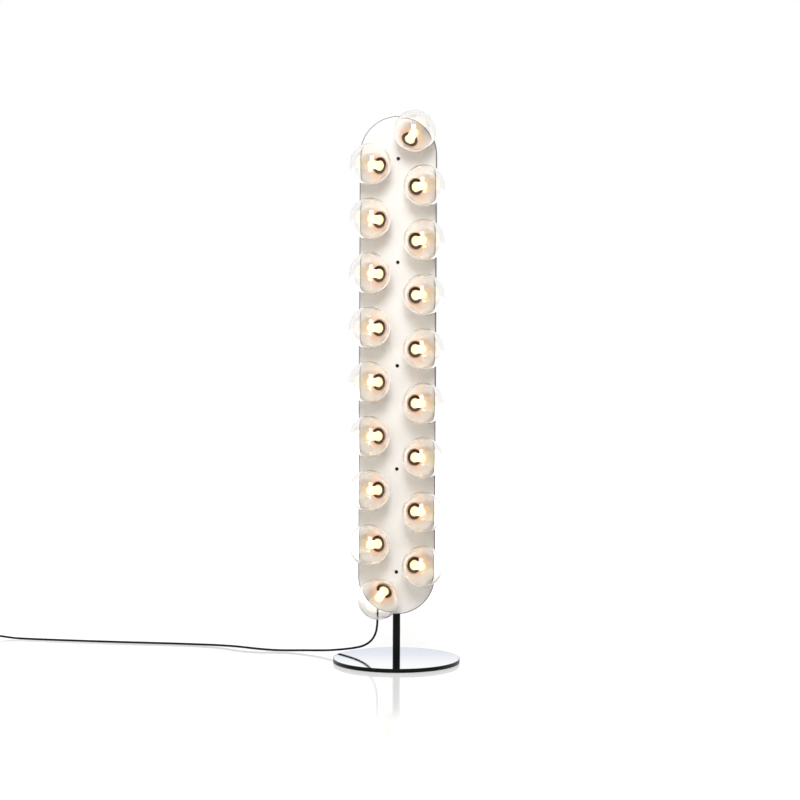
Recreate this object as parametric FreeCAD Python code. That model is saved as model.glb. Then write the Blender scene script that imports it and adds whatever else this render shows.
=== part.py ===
import FreeCAD, Part
import math
import os

# A floor lamp: a mirror-topped disc base, a black pole, and a tall white housing with round ends
# that carries eighteen clear globes, each tilted outwards over its own lit tube.
# Lengths are in millimetres. X runs to the right, Y away from the viewer and Z up. The origin is
# on the floor, under the middle of the base.

V = FreeCAD.Vector
X_AXIS = V(1, 0, 0)
Y_AXIS = V(0, 1, 0)
Z_AXIS = V(0, 0, 1)
HALF_TURN = 180.0
FULL_TURN = 360.0
QUARTER_TURN = 90.0

# Clearances and cutters
slip = 0.1
gap = 0.3
overrun = 5.0

# Disc base
base_d = 400.0
plate_h = 12.0
plate_edge_r = 0.8
mirror_t = 1.5
mirror_rim = 1.6
pad_h = 1.5
pad_inset = 8.0
pad_bore_r = 14.0

# Pole, with the bolt that holds it to the base
pole_d = 24.0
pole_wall = 2.5
foot_plug_h = 40.0
bolt_r = 5.0
bolt_head_r = 9.5
bolt_head_h = 5.0
bolt_reach = 26.0
bolt_key_r = 3.4
bolt_key_h = 3.0
top_cap_t = 3.0
top_cap_spigot = 10.0

# Housing: a deep front tray of sheet and a flat cover behind it
panel_w = 242.0
panel_l = 1564.0
panel_foot_z = 155.0
front_room = 15.0
rear_room = 3.0
sheet = 2.0
rim_r = 7.0
cover_edge_r = 0.6

# Screws that hold tray and cover to the pole
screw_count = 5
screw_end_drop = 13.0
screw_r = 2.5
screw_head_r = 5.6
screw_head_h = 2.6
screw_key_r = 1.5
screw_key_h = 1.4
screw_reach = 4.0
bush_r = 6.0
rear_screw_r = 2.0
rear_screw_head_r = 3.8
rear_screw_head_h = 2.2

# Lamp places: two staggered columns, and one lamp on each round end. A column starts a little
# inside one round end's centre and stops closer to the other's.
column_count = 8
column_end_drop = 103.8
column_far_drop = 38.0
column_x = 84.2
end_lamp_angle = 50.0
lamp_tilt = 33.0
globe_stand_off = 68.0

# Glass globe, an even shell with its front pressed in a little. Distances on its axis are
# measured back from the globe's centre. The flatter front starts at a share of the radius ahead
# of the centre.
globe_r = 65.0
globe_wall = 3.0
front_press = 6.5
front_start_share = 0.35
front_round_r = 30.0
mouth_flat = 58.1

# Holder cup, ring and snap ring
cup_r = 28.0
cup_front = 51.5
shoulder_r = 29.3
shoulder_t = 1.6
neck_r = 16.0
neck_start = 72.0
cup_bore_r = 13.3
cup_bore_end = 69.0
ring_bore_r = 16.6
ring_r = 25.8
ring_t = 1.5
ring_edge_r = 0.7
snap_wire_r = 0.9
snap_back = 0.4
snap_open = 30.0

# Lamp tube, its cap and its socket
tube_r = 12.6
tube_wall = 1.2
tube_tip_back = 2.0
tube_dome_r = 5.0
cap_r = 7.0
cap_flange_t = 1.6
cap_h = 13.0
cap_tip_r = 2.5
cap_tip_h = 1.8
socket_front = 53.6
socket_bore_r = 7.4
socket_bore_h = 13.0

# Threaded nipple and nut that fix each holder to the sheet
nipple_r = 5.0
nipple_bore_r = 3.4
nipple_in_cup = 7.0
nipple_behind = 7.0
nut_t = 4.0
nut_across_r = 8.6
wire_hole_r = 3.0

# Wiring inside the housing
trunk_r = 2.5
branch_r = 1.6
trunk_y = -11.0
branch_start_y = -21.0
terminal_x = -86.0
terminal_up = 135.0
terminal_w = 20.0
terminal_d = 16.0
terminal_l = 44.0
terminal_hole_r = 2.2
terminal_hole_deep = 9.0
terminal_screw_offset = 15.0
terminal_screw_r = 1.5
terminal_screw_head_r = 3.0
terminal_screw_head_h = 1.6
terminal_screw_in = 7.0
earth_up = 197.0
earth_screw_r = 2.0
earth_head_r = 3.8
earth_head_h = 2.4
earth_reach = 3.0
earth_eye_r = 5.0
earth_eye_t = 1.0
earth_wire_r = 1.1
earth_wire_in = 0.6

# Cord gland on the cover
gland_x = -61.5
gland_up = 73.0
gland_w = 22.0
gland_d = 18.0
gland_h = 24.0
gland_edge_r = 3.0
gland_neck_r = 6.5
gland_neck_reach = 7.0
gland_nut_t = 4.0
gland_nut_across_r = 11.0
relief_l = 35.0
relief_big_r = 7.5
relief_small_r = 5.0

# Mains cord, from the gland to the foot switch, as points of its route
cord_r = 3.5
switch_axis_z = 13.0
cord_route = [
    (-61.5, 26.0, 181.0),
    (-61.5, 26.0, 152.0),
    (-62.5, 28.5, 118.0),
    (-68.0, 34.0, 86.0),
    (-84.0, 43.0, 60.0),
    (-109.0, 56.0, 41.5),
    (-142.0, 74.0, 30.5),
    (-180.0, 91.5, 25.5),
    (-222.0, 113.0, 18.0),
    (-268.0, 137.0, 10.5),
    (-325.0, 159.0, 6.5),
    (-392.0, 169.0, 4.2),
    (-462.0, 178.0, 6.8),
    (-532.0, 207.0, 7.4),
    (-600.0, 246.0, 4.8),
    (-676.0, 271.0, 3.5),
    (-762.0, 283.0, 3.5),
    (-856.0, 291.0, 3.5),
    (-956.0, 300.0, 3.5),
    (-1058.0, 312.0, 3.5),
    (-1160.0, 327.0, 3.5),
    (-1256.0, 344.0, 3.5),
    (-1316.0, 353.0, 3.8),
    (-1356.0, 357.0, 8.0),
    (-1392.0, 358.0, 13.0),
    (-1420.0, 358.0, 13.0),
]

# Foot switch in the cord
switch_l = 100.0
switch_w = 56.0
switch_h = 27.0
switch_corner_r = 22.0
switch_crown_r = 6.0
switch_wall = 2.2
switch_relief_l = 20.0
switch_relief_big_r = 6.4
switch_relief_small_r = 4.8
switch_relief_flange_r = 8.0
switch_relief_flange_t = 2.0
post_r = 4.0
post_inset_x = 15.0
post_inset_y = 12.0
switch_screw_r = 1.4
switch_screw_head_r = 2.8
switch_screw_head_h = 1.6
button_r = 12.0
button_gap = 0.4
button_proud = 4.0
button_crown_r = 1.5
button_flange_r = 14.0
button_flange_t = 3.0
button_travel = 3.0
contact_l = 26.0
contact_w = 20.0
contact_h = 7.0
spring_r = 6.5
spring_wire_r = 0.5
spring_turns = 4
spring_rise = 10.0
contact_pip_r = 4.0
contact_pip_h = 2.0

# Put-away coil of the rest of the cord, with its tie
coil_turns = 3
coil_r = 51.0
coil_pitch = 7.7
coil_lead = 40.0
tie_t = 0.8
tie_w = 12.0
tie_slack = 0.2

# Plug at the end of the cord
plug_r = 19.0
plug_body_l = 45.0
plug_face_l = 16.0
plug_grip_r = 13.0
plug_relief_l = 25.0
plug_relief_big_r = 8.0
plug_relief_small_r = 4.8
plug_edge_r = 2.0
pin_r = 2.4
pin_l = 19.0
pin_spacing = 19.0
pin_seat = 10.0

# Places that follow from the sizes above
base_top_z = pad_h + plate_h
mirror_z = base_top_z - mirror_t
pole_r = pole_d / 2
face_y = -(pole_r + front_room + sheet)
back_y = pole_r + rear_room + sheet
housing_depth = back_y - face_y
panel_half = panel_w / 2
panel_mid_z = panel_foot_z + panel_l / 2
arc_drop = panel_l / 2 - panel_half
column_pitch = (2 * arc_drop - column_end_drop - column_far_drop) / (column_count - 1)
column_top = arc_drop - column_end_drop
screw_pitch = 2 * (arc_drop - screw_end_drop) / (screw_count - 1)
terminal_z = panel_foot_z + terminal_up
earth_z = panel_foot_z + earth_up
gland_z = panel_foot_z + gland_up
sheet_y = face_y + sheet
cover_y = back_y - sheet
globe_y = face_y - globe_stand_off
cup_root_x = column_x - globe_stand_off * math.tan(math.radians(lamp_tilt))
lowest_screw_z = panel_mid_z - arc_drop + screw_end_drop
screw_places = [lowest_screw_z + i * screw_pitch for i in range(screw_count)]
tilt_out = V(math.sin(math.radians(lamp_tilt)), -math.cos(math.radians(lamp_tilt)), 0)

# Each lamp's place: its pivot on the centre line, and the angle that it leans towards
lamp_places = []
for k in range(column_count):
    lamp_places.append((panel_mid_z + column_top - k * column_pitch, 0.0))
for k in range(column_count):
    lamp_places.append((panel_mid_z - column_top + k * column_pitch, HALF_TURN))
lamp_places.append((panel_mid_z + arc_drop, end_lamp_angle))
lamp_places.append((panel_mid_z - arc_drop, end_lamp_angle + HALF_TURN))

os.makedirs("parts", exist_ok=True)


# Helpers


def save(name, solids):
    """Write one node's solids to its own file."""
    solids = solids if isinstance(solids, list) else [solids]
    shape = solids[0] if len(solids) == 1 else Part.makeCompound(solids)
    shape.exportStep("parts/" + name + ".step")
    volume = sum(s.Volume for s in solids)
    print(name, len(solids), "solids, volume", round(volume), "valid", shape.isValid())


def rod(r, start, end):
    """A round bar between two points."""
    return Part.makeCylinder(r, (end - start).Length, start, end - start)


def pipe(r, bore_r, start, end):
    """A round tube between two points."""
    return rod(r, start, end).cut(rod(bore_r, start, end))


def box(low, high):
    """A block between two corners."""
    return Part.makeBox(high.x - low.x, high.y - low.y, high.z - low.z, low)


def turned(profile):
    """A solid of revolution about Z from a closed outline of (radius, height) points."""
    points = [V(r, 0, h) for r, h in profile]
    face = Part.Face(Part.makePolygon(points + points[:1]))
    return face.revolve(V(0, 0, 0), Z_AXIS, FULL_TURN)


def hexagon(across_r, start, end):
    """A six-sided bar along Y between two points, with corners at across_r."""
    corners = []
    for i in range(7):
        a = math.radians(FULL_TURN * i / 6)
        corners.append(start + V(across_r * math.cos(a), 0, across_r * math.sin(a)))
    return Part.Face(Part.makePolygon(corners)).extrude(end - start)


def stadium(width, length, y, depth):
    """A block along Y with straight sides and half-round ends, centred on the panel."""
    r = width / 2
    drop = length / 2 - r
    low, high = panel_mid_z - drop, panel_mid_z + drop
    edges = [
        Part.LineSegment(V(-r, y, low), V(-r, y, high)).toShape(),
        Part.Arc(V(-r, y, high), V(0, y, high + r), V(r, y, high)).toShape(),
        Part.LineSegment(V(r, y, high), V(r, y, low)).toShape(),
        Part.Arc(V(r, y, low), V(0, y, low - r), V(-r, y, low)).toShape(),
    ]
    return Part.Face(Part.Wire(edges)).extrude(V(0, depth, 0))


def edges_at(shape, test):
    """The edges whose every end passes a test."""
    return [e for e in shape.Edges if all(test(v.Point) for v in e.Vertexes)]


def corner_arc(a, corner, b):
    """The arc from a to b that touches both lines to the corner, which is equally far from each."""
    middle = (a + b) / 2
    half = (b - a).Length / 2
    depth = (middle - corner).Length
    reach = (a - corner).Length
    radius = reach * half / depth
    inward = (middle - corner) / depth
    crown = corner + inward * (math.hypot(radius, reach) - radius)
    return Part.Arc(a, crown, b).toShape(), radius


def bent_path(points, share=0.45):
    """Straight runs joined by tangent arcs, as edges, with the radius of each arc."""
    edges, radii = [], []
    start = points[0]
    for before, corner, after in zip(points, points[1:], points[2:]):
        reach = share * min((corner - before).Length, (after - corner).Length)
        a = corner + (before - corner).normalize() * reach
        b = corner + (after - corner).normalize() * reach
        arc, radius = corner_arc(a, corner, b)
        edges += [Part.LineSegment(start, a).toShape(), arc]
        radii.append(radius)
        start = b
    edges.append(Part.LineSegment(start, points[-1]).toShape())
    return edges, radii


def biarc(a, along_a, b, along_b):
    """Two arcs that leave a along its direction and reach b along its own."""
    v = b - a
    t = along_a + along_b
    spread = 2 * (1 - along_a.dot(along_b))
    vt = v.dot(t)
    if spread < 1e-9:
        reach = v.dot(v) / (4 * v.dot(along_b))
    else:
        reach = (math.sqrt(vt * vt + spread * v.dot(v)) - vt) / spread
    q0, q1 = a + along_a * reach, b - along_b * reach
    joint = (q0 + q1) / 2
    first, radius_0 = corner_arc(a, q0, joint)
    second, radius_1 = corner_arc(joint, q1, b)
    return [first, second], [radius_0, radius_1]


def swept(edges, r):
    """A round bar swept along joined edges."""
    wire = Part.Wire(edges)
    first = edges[0]
    start = first.FirstParameter
    circle = Part.makeCircle(r, first.valueAt(start), first.tangentAt(start))
    solid = wire.makePipeShell([Part.Wire([circle])], True, False)
    return solid, wire.Length


def report_sweep(name, solid, length, r, radii):
    """Print a swept bar's length, its volume against section times length, and its bends."""
    share = solid.Volume / (math.pi * r * r * length)
    print(name, "length", round(length, 1), "volume share", round(share, 4))
    print("bends", [round(r, 1) for r in radii])


# Base


def make_base():
    plate = Part.makeCylinder(base_d / 2, plate_h, V(0, 0, pad_h))
    plate = plate.makeFillet(plate_edge_r, plate.Edges)
    recess_r = base_d / 2 - mirror_rim
    plate = plate.cut(Part.makeCylinder(recess_r, mirror_t + overrun, V(0, 0, mirror_z)))
    plate = plate.cut(rod(bolt_r + gap, V(0, 0, 0), V(0, 0, base_top_z)))
    sink_r = bolt_head_r + gap
    sink = Part.makeCone(sink_r, bolt_r + gap, bolt_head_h, V(0, 0, pad_h))
    save("base_plate", plate.cut(sink))
    sheet_disc = Part.makeCylinder(recess_r - gap, mirror_t, V(0, 0, mirror_z))
    save("base_mirror_top", sheet_disc.cut(rod(pole_r + gap, V(0, 0, 0), V(0, 0, base_top_z + overrun))))
    pad = Part.makeCylinder(base_d / 2 - pad_inset, pad_h)
    save("base_pad", pad.cut(Part.makeCylinder(pad_bore_r, pad_h)))


# Pole


def make_pole():
    foot = V(0, 0, mirror_z)
    top = V(0, 0, panel_mid_z + arc_drop)
    bore_r = pole_r - pole_wall
    tube = pipe(pole_r, bore_r, foot, top)
    for z in screw_places:
        tube = tube.cut(rod(screw_r + slip, V(0, -pole_r - overrun, z), V(0, 0, z)))
        tube = tube.cut(rod(rear_screw_r + slip, V(0, 0, z), V(0, pole_r + overrun, z)))
    tube = tube.cut(rod(earth_screw_r + slip, V(-pole_r - overrun, 0, earth_z), V(0, 0, earth_z)))
    save("pole", tube)
    plug = pipe(bore_r - slip, bolt_r + slip, foot, foot + V(0, 0, foot_plug_h))
    save("pole_foot_plug", plug)
    neck = V(0, 0, pad_h + bolt_head_h)
    bolt = Part.makeCone(bolt_head_r, bolt_r, bolt_head_h, V(0, 0, pad_h))
    bolt = bolt.fuse(rod(bolt_r, neck, foot + V(0, 0, bolt_reach)))
    save("base_bolt", bolt.cut(rod(bolt_key_r, V(0, 0, 0), V(0, 0, pad_h + bolt_key_h))).removeSplitter())
    cap = rod(pole_r, top, top + V(0, 0, top_cap_t))
    save("pole_top_cap", cap.fuse(rod(bore_r - slip, top - V(0, 0, top_cap_spigot), top)).removeSplitter())


# Housing


def make_housing():
    outer = stadium(panel_w, panel_l, face_y, housing_depth)
    outer = outer.makeFillet(rim_r, edges_at(outer, lambda p: abs(p.y - face_y) < slip))
    inner = stadium(panel_w - 2 * sheet, panel_l - 2 * sheet, sheet_y, housing_depth)
    inner = inner.makeFillet(rim_r - sheet, edges_at(inner, lambda p: abs(p.y - sheet_y) < slip))
    tray = outer.cut(inner)
    for z in screw_places:
        tray = tray.cut(rod(screw_r + gap, V(0, face_y - overrun, z), V(0, sheet_y + overrun, z)))
    hole = rod(nipple_r + gap, V(cup_root_x, face_y - overrun, 0), V(cup_root_x, sheet_y + overrun, 0))
    for place in lamp_places:
        tray = tray.cut(lamp_copy(hole, place))
    pole_hole = rod(pole_r + gap, V(0, 0, panel_foot_z - overrun), V(0, 0, panel_foot_z + rim_r))
    save("front_panel", tray.cut(pole_hole))

    width = panel_w - 2 * (sheet + gap)
    cover = stadium(width, panel_l - 2 * (sheet + gap), cover_y, sheet)
    cover = cover.makeFillet(cover_edge_r, edges_at(cover, lambda p: abs(p.y - back_y) < slip))
    for z in screw_places:
        cover = cover.cut(rod(rear_screw_r + gap, V(0, cover_y - overrun, z), V(0, back_y + overrun, z)))
    for z in terminal_screw_places():
        start, end = V(terminal_x, cover_y - overrun, z), V(terminal_x, back_y + overrun, z)
        cover = cover.cut(rod(terminal_screw_r + slip, start, end))
    start, end = V(gland_x, cover_y - overrun, gland_z), V(gland_x, back_y + overrun, gland_z)
    save("rear_cover", cover.cut(rod(gland_neck_r + gap, start, end)))


def button_screw(r, head_r, head_h, key_r, key_h, tip, seat, y_out):
    """A round-headed screw along Y: its head stands on the seat and points towards y_out."""
    head = rod(head_r, seat, seat + V(0, y_out * head_h, 0))
    rim = edges_at(head, lambda p: abs(p.y - seat.y - y_out * head_h) < slip)
    head = head.makeFillet(head_h / 2, rim)
    screw = head.fuse(rod(r, tip, seat)).removeSplitter()
    top = seat + V(0, y_out * (head_h + overrun), 0)
    return screw.cut(rod(key_r, seat + V(0, y_out * (head_h - key_h), 0), top))


def make_screws():
    post = rod(pole_r, V(0, 0, 0), V(0, 0, 2 * panel_l))
    screws, bushes, rear_screws, rear_bushes = [], [], [], []
    for z in screw_places:
        seat, tip = V(0, face_y, z), V(0, screw_reach - pole_r, z)
        key = (screw_key_r, screw_key_h)
        screws.append(button_screw(screw_r, screw_head_r, screw_head_h, *key, tip, seat, -1))
        front_bush = pipe(bush_r, screw_r + gap, V(0, sheet_y, z), V(0, 0, z))
        bushes.append(front_bush.cut(post).Solids[0])
        seat, tip = V(0, back_y, z), V(0, pole_r - screw_reach, z)
        rear = button_screw(rear_screw_r, rear_screw_head_r, rear_screw_head_h, *key, tip, seat, 1)
        rear_screws.append(rear)
        rear_bush = pipe(bush_r, rear_screw_r + gap, V(0, 0, z), V(0, cover_y, z))
        rear_bushes.append(rear_bush.cut(post).Solids[0])
    save("panel_screws", screws)
    save("panel_bushes", bushes)
    save("rear_screws", rear_screws)
    save("rear_bushes", rear_bushes)


# Lamps


def lamp_copy(shape, place):
    """Turn a piece of the prototype lamp about the panel's normal and lift it to its place."""
    z, angle = place
    copy = shape.copy()
    copy.rotate(V(0, 0, 0), Y_AXIS, -angle)
    copy.translate(V(0, 0, z))
    return copy


def tilted(shape):
    """Move a piece from the globe's own frame, with the tip along Z, to the prototype's place."""
    turn = FreeCAD.Rotation(Z_AXIS, tilt_out)
    shape = shape.copy()
    shape.Placement = FreeCAD.Placement(V(column_x, globe_y, 0), turn).multiply(shape.Placement)
    return shape


def back(distance):
    """The point on the globe's axis that lies this far behind its centre."""
    return V(0, 0, -distance)


def pressed_ball(r):
    """A ball at the origin whose front is a flatter cap, with a rounded change between the two."""
    start_z = front_start_share * r
    ahead = r - front_press - start_z
    cap_r = (r * r - start_z * start_z + ahead * ahead) / (2 * ahead)
    cap = Part.makeSphere(cap_r, V(0, 0, start_z + ahead - cap_r))
    ball = Part.makeSphere(r).common(cap)
    rim = edges_at(ball, lambda p: abs(p.z - start_z) < slip)
    return ball.makeFillet(front_round_r, rim)


def make_globe():
    globe = pressed_ball(globe_r).cut(pressed_ball(globe_r - globe_wall))
    globe = globe.cut(rod(cup_r + gap, back(cup_front), back(globe_r + overrun)))
    globe = globe.cut(rod(globe_r, back(mouth_flat), back(globe_r + overrun)))
    return tilted(globe)


def make_holder_pieces():
    """The cup with its cavity and oblique foot, and the dark ring on its front."""
    shoulder_end = mouth_flat + shoulder_t
    far = neck_start + 2 * neck_r
    cup = turned([
        (0, -cup_front), (cup_r, -cup_front), (cup_r, -mouth_flat), (shoulder_r, -mouth_flat),
        (shoulder_r, -shoulder_end), (cup_r, -shoulder_end), (neck_r, -neck_start), (neck_r, -far), (0, -far),
    ])
    groove_at = snap_place()
    groove_r = snap_wire_r + slip
    cup = cup.cut(Part.makeTorus(cup_r, groove_r, back(groove_at), Z_AXIS))
    cup = cup.cut(rod(cup_bore_r, back(0), back(cup_bore_end)))
    cup = tilted(cup)
    wall = 2 * panel_w
    behind = box(V(-wall, face_y, -wall), V(wall, wall, wall))
    cup = cup.cut(behind)
    cup = cup.cut(rod(nipple_r + slip, V(cup_root_x, face_y - nipple_in_cup, 0), V(cup_root_x, sheet_y, 0)))
    bore_end = V(column_x, globe_y, 0) - tilt_out * (cup_bore_end - slip)
    cup = cup.cut(rod(wire_hole_r, bore_end, V(cup_root_x, face_y, 0)))
    ring = rod(ring_r, back(cup_front - ring_t), back(cup_front))
    front = edges_at(ring, lambda p: abs(p.z + cup_front - ring_t) < slip)
    ring = ring.makeFillet(ring_edge_r, front)
    ring = tilted(ring.cut(rod(ring_bore_r, back(0), back(cup_front))))
    return max(cup.Solids, key=lambda s: s.Volume), ring


def snap_place():
    """How far behind the globe's centre the snap ring sits, just inside the glass."""
    mouth_r = cup_r + gap
    inner_edge = math.sqrt((globe_r - globe_wall)**2 - mouth_r**2)
    return inner_edge - snap_wire_r - snap_back


def make_snap_ring():
    """An open ring of wire in the cup's groove that keeps the globe on its shoulder."""
    a = math.radians(snap_open / 2)
    start = V(cup_r * math.cos(a), cup_r * math.sin(a), -snap_place())
    middle = V(-cup_r, 0, -snap_place())
    end = V(cup_r * math.cos(a), -cup_r * math.sin(a), -snap_place())
    wire, length = swept([Part.Arc(start, middle, end).toShape()], snap_wire_r)
    return tilted(wire)


def make_lamp_pieces():
    """The lit tube, its screw cap and the socket that takes it."""
    flange_front = socket_front - cap_flange_t
    shell = rod(tube_r, back(tube_tip_back), back(flange_front))
    tip = edges_at(shell, lambda p: abs(p.z + tube_tip_back) < slip)
    shell = shell.makeFillet(tube_dome_r, tip)
    core_tip = tube_tip_back + tube_wall
    core = rod(tube_r - tube_wall, back(core_tip), back(flange_front))
    tip = edges_at(core, lambda p: abs(p.z + core_tip) < slip)
    core = core.makeFillet(tube_dome_r - tube_wall, tip)
    tube = tilted(shell.cut(core))
    cap = rod(tube_r, back(flange_front), back(socket_front))
    cap = cap.fuse(rod(cap_r, back(socket_front), back(socket_front + cap_h - cap_tip_h)))
    cap_end = socket_front + cap_h
    cap = cap.fuse(Part.makeCone(cap_tip_r, cap_r, cap_tip_h, back(cap_end))).removeSplitter()
    body = rod(cup_bore_r - slip, back(socket_front), back(cup_bore_end))
    bore_end = socket_front + socket_bore_h
    body = body.cut(rod(socket_bore_r, back(socket_front), back(bore_end)))
    body = body.cut(rod(wire_hole_r, back(bore_end), back(cup_bore_end)))
    return tube, tilted(cap), tilted(body)


def make_fixing():
    """The threaded nipple through the sheet, and the nut behind it."""
    front = V(cup_root_x, face_y - nipple_in_cup, 0)
    rear = V(cup_root_x, sheet_y + nipple_behind, 0)
    nipple = pipe(nipple_r, nipple_bore_r, front, rear)
    seat = V(cup_root_x, sheet_y, 0)
    nut = hexagon(nut_across_r, seat, seat + V(0, nut_t, 0))
    return nipple, nut.cut(rod(nipple_r + slip, seat, seat + V(0, nut_t, 0)))


def make_lamps():
    globe = make_globe()
    cup, ring = make_holder_pieces()
    tube, cap, socket = make_lamp_pieces()
    nipple, nut = make_fixing()
    for number, place in enumerate(lamp_places, 1):
        save("globe_%02d" % number, lamp_copy(globe, place))
    grouped = {
        "holder_cups": cup,
        "holder_rings": ring,
        "globe_snap_rings": make_snap_ring(),
        "lamp_tubes": tube,
        "lamp_caps": cap,
        "lamp_sockets": socket,
        "holder_nipples": nipple,
        "nipple_nuts": nut,
    }
    for name, piece in grouped.items():
        save(name, [lamp_copy(piece, place) for place in lamp_places])


# Wiring in the housing


def terminal_screw_places():
    return [terminal_z - terminal_screw_offset, terminal_z + terminal_screw_offset]


def bent_rod(points, r):
    """A wire along a route of points, with its corners rounded."""
    edges, radii = bent_path(points)
    return swept(edges, r)[0]


def nipple_point(place, y):
    """The point on a lamp's nipple axis at this depth."""
    z, angle = place
    a = math.radians(angle)
    return V(cup_root_x * math.cos(a), y, z + cup_root_x * math.sin(a))


def make_loom(name, column, end_lamp, feed):
    """One column's trunk wire, with a branch to each lamp and a feed from the terminal block."""
    heights = sorted(z for z, angle in column)
    near = nipple_point(end_lamp, trunk_y)
    x = nipple_point(column[0], trunk_y).x
    if near.z > heights[-1]:
        turn = V(x, trunk_y, near.z - (cup_root_x - abs(near.x)))
        route = [V(x, trunk_y, heights[0]), turn, near]
    else:
        turn = V(x, trunk_y, near.z + (cup_root_x - abs(near.x)))
        route = [V(x, trunk_y, heights[-1]), turn, near]
    loom = bent_rod(route, trunk_r)
    for place in column + [end_lamp]:
        loom = loom.fuse(rod(branch_r, nipple_point(place, branch_start_y), nipple_point(place, trunk_y)))
    loom = loom.fuse(bent_rod(feed, branch_r))
    save(name, loom.removeSplitter().Solids)


def make_wiring():
    right, left = lamp_places[:column_count], lamp_places[column_count:2 * column_count]
    block_top = V(terminal_x, cover_y - terminal_d / 2, terminal_z + terminal_l / 2)
    side = terminal_w / 4
    rise = terminal_l / 2
    feed_left = [
        block_top + V(side, 0, 0),
        block_top + V(side, 0, rise),
        V((terminal_x - cup_root_x) / 2, trunk_y / 2, block_top.z + 2 * rise),
        V(-cup_root_x, trunk_y, block_top.z + 3 * rise),
    ]
    crossing_y = (sheet_y - pole_r) / 2
    crossing_z = block_top.z + 2 * rise
    feed_right = [
        block_top - V(side, 0, 0),
        block_top + V(-side, 0, 0.8 * rise),
        V(terminal_x + 1.5 * side, crossing_y / 2, block_top.z + 1.6 * rise),
        V(-cup_root_x - rise, crossing_y, crossing_z),
        V(pole_r, crossing_y, crossing_z + side),
        V(cup_root_x, trunk_y, crossing_z + rise),
    ]
    make_loom("loom_left", left, lamp_places[-1], feed_left)
    make_loom("loom_right", right, lamp_places[-2], feed_right)

    low = V(terminal_x - terminal_w / 2, cover_y - terminal_d, terminal_z - terminal_l / 2)
    high = V(terminal_x + terminal_w / 2, cover_y, terminal_z + terminal_l / 2)
    block = box(low, high)
    for x in (-side, side):
        block_hole = V(terminal_x + x, cover_y - terminal_d / 2, terminal_z)
        for z in (-terminal_l / 2, terminal_l / 2):
            mouth = block_hole + V(0, 0, z)
            inwards = terminal_hole_deep if z < 0 else -terminal_hole_deep
            wire_hole = rod(terminal_hole_r, mouth, mouth + V(0, 0, inwards))
            block = block.cut(wire_hole)
    screws = []
    for z in terminal_screw_places():
        tip = V(terminal_x, cover_y - terminal_screw_in, z)
        seat = V(terminal_x, back_y, z)
        block = block.cut(rod(terminal_screw_r + slip, tip, seat))
        head = (terminal_screw_head_r, terminal_screw_head_h)
        key = (terminal_screw_r / 2, terminal_screw_head_h / 2)
        screws.append(button_screw(terminal_screw_r, *head, *key, tip, seat, 1))
    save("terminal_block", block)
    save("terminal_screws", screws)

    eye_out = V(-pole_r - earth_eye_t, 0, earth_z)
    screw_tip = V(-pole_r + earth_reach, 0, earth_z)
    eye = pipe(earth_eye_r, earth_screw_r + slip, V(-pole_r, 0, earth_z), eye_out)
    lug = V(-pole_r - earth_wire_r - slip, 0, earth_z)
    behind_y = block_top.y + terminal_d / 4
    lead = [
        block_top,
        block_top + V(0, 0, rise / 3),
        V(terminal_x + side, behind_y, block_top.z + rise / 2),
        V((terminal_x + lug.x) / 2, behind_y, block_top.z + 2 * rise / 3),
        lug - V(earth_eye_r, 0, 2 * earth_eye_r),
        lug - V(0, 0, earth_eye_r - earth_wire_in),
    ]
    save("earth_lead", eye.fuse(bent_rod(lead, earth_wire_r)).removeSplitter())
    head = rod(earth_head_r, eye_out, eye_out - V(earth_head_h, 0, 0))
    save("earth_screw", head.fuse(rod(earth_screw_r, eye_out, screw_tip)).removeSplitter())


# Cord, with its gland, foot switch, coil and plug


def make_gland():
    mid_y = back_y + gland_d / 2
    low = V(gland_x - gland_w / 2, back_y, gland_z - gland_h / 2)
    high = V(gland_x + gland_w / 2, back_y + gland_d, gland_z + gland_h / 2)
    block = box(low, high)
    outer = edges_at(block, lambda p: p.y > mid_y)
    block = block.makeFillet(gland_edge_r, outer)
    relief = Part.makeCone(relief_small_r, relief_big_r, relief_l, V(gland_x, mid_y, low.z - relief_l))
    neck_end = V(gland_x, cover_y - gland_neck_reach, gland_z)
    neck = rod(gland_neck_r, neck_end, V(gland_x, back_y, gland_z))
    save("cord_gland", block.fuse(relief).fuse(neck).removeSplitter())
    seat = V(gland_x, cover_y, gland_z)
    nut = hexagon(gland_nut_across_r, seat, seat - V(0, gland_nut_t, 0))
    save("gland_nut", nut.cut(rod(gland_neck_r + slip, seat, seat - V(0, gland_nut_t, 0))))
    block_foot = V(terminal_x, cover_y - terminal_d / 2, terminal_z - terminal_l / 2)
    inner = [
        neck_end,
        neck_end - V(0, 2 * cord_r, 0),
        (neck_end + block_foot) / 2 - V(0, 4 * cord_r, 0),
        block_foot - V(0, 0, 4 * cord_r),
        block_foot,
    ]
    save("inner_lead", bent_rod(inner, cord_r))


def make_cord():
    edges, radii = bent_path([V(*p) for p in cord_route])
    cord, length = swept(edges, cord_r)
    report_sweep("cord_free", cord, length, cord_r, radii)
    save("cord_free", cord)
    return length


def oblong(inset, z, height):
    """The foot switch's outline, drawn in by the inset, as a block."""
    end = cord_route[-1]
    x_near = end[0] - switch_relief_l - inset
    x_far = end[0] - switch_relief_l - switch_l + inset
    half = switch_w / 2 - inset
    block = box(V(x_far, end[1] - half, z), V(x_near, end[1] + half, z + height))
    upright = [e for e in block.Edges if abs(e.tangentAt(e.FirstParameter).z) > 0.9]
    return block.makeFillet(switch_corner_r - inset, upright)


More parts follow.
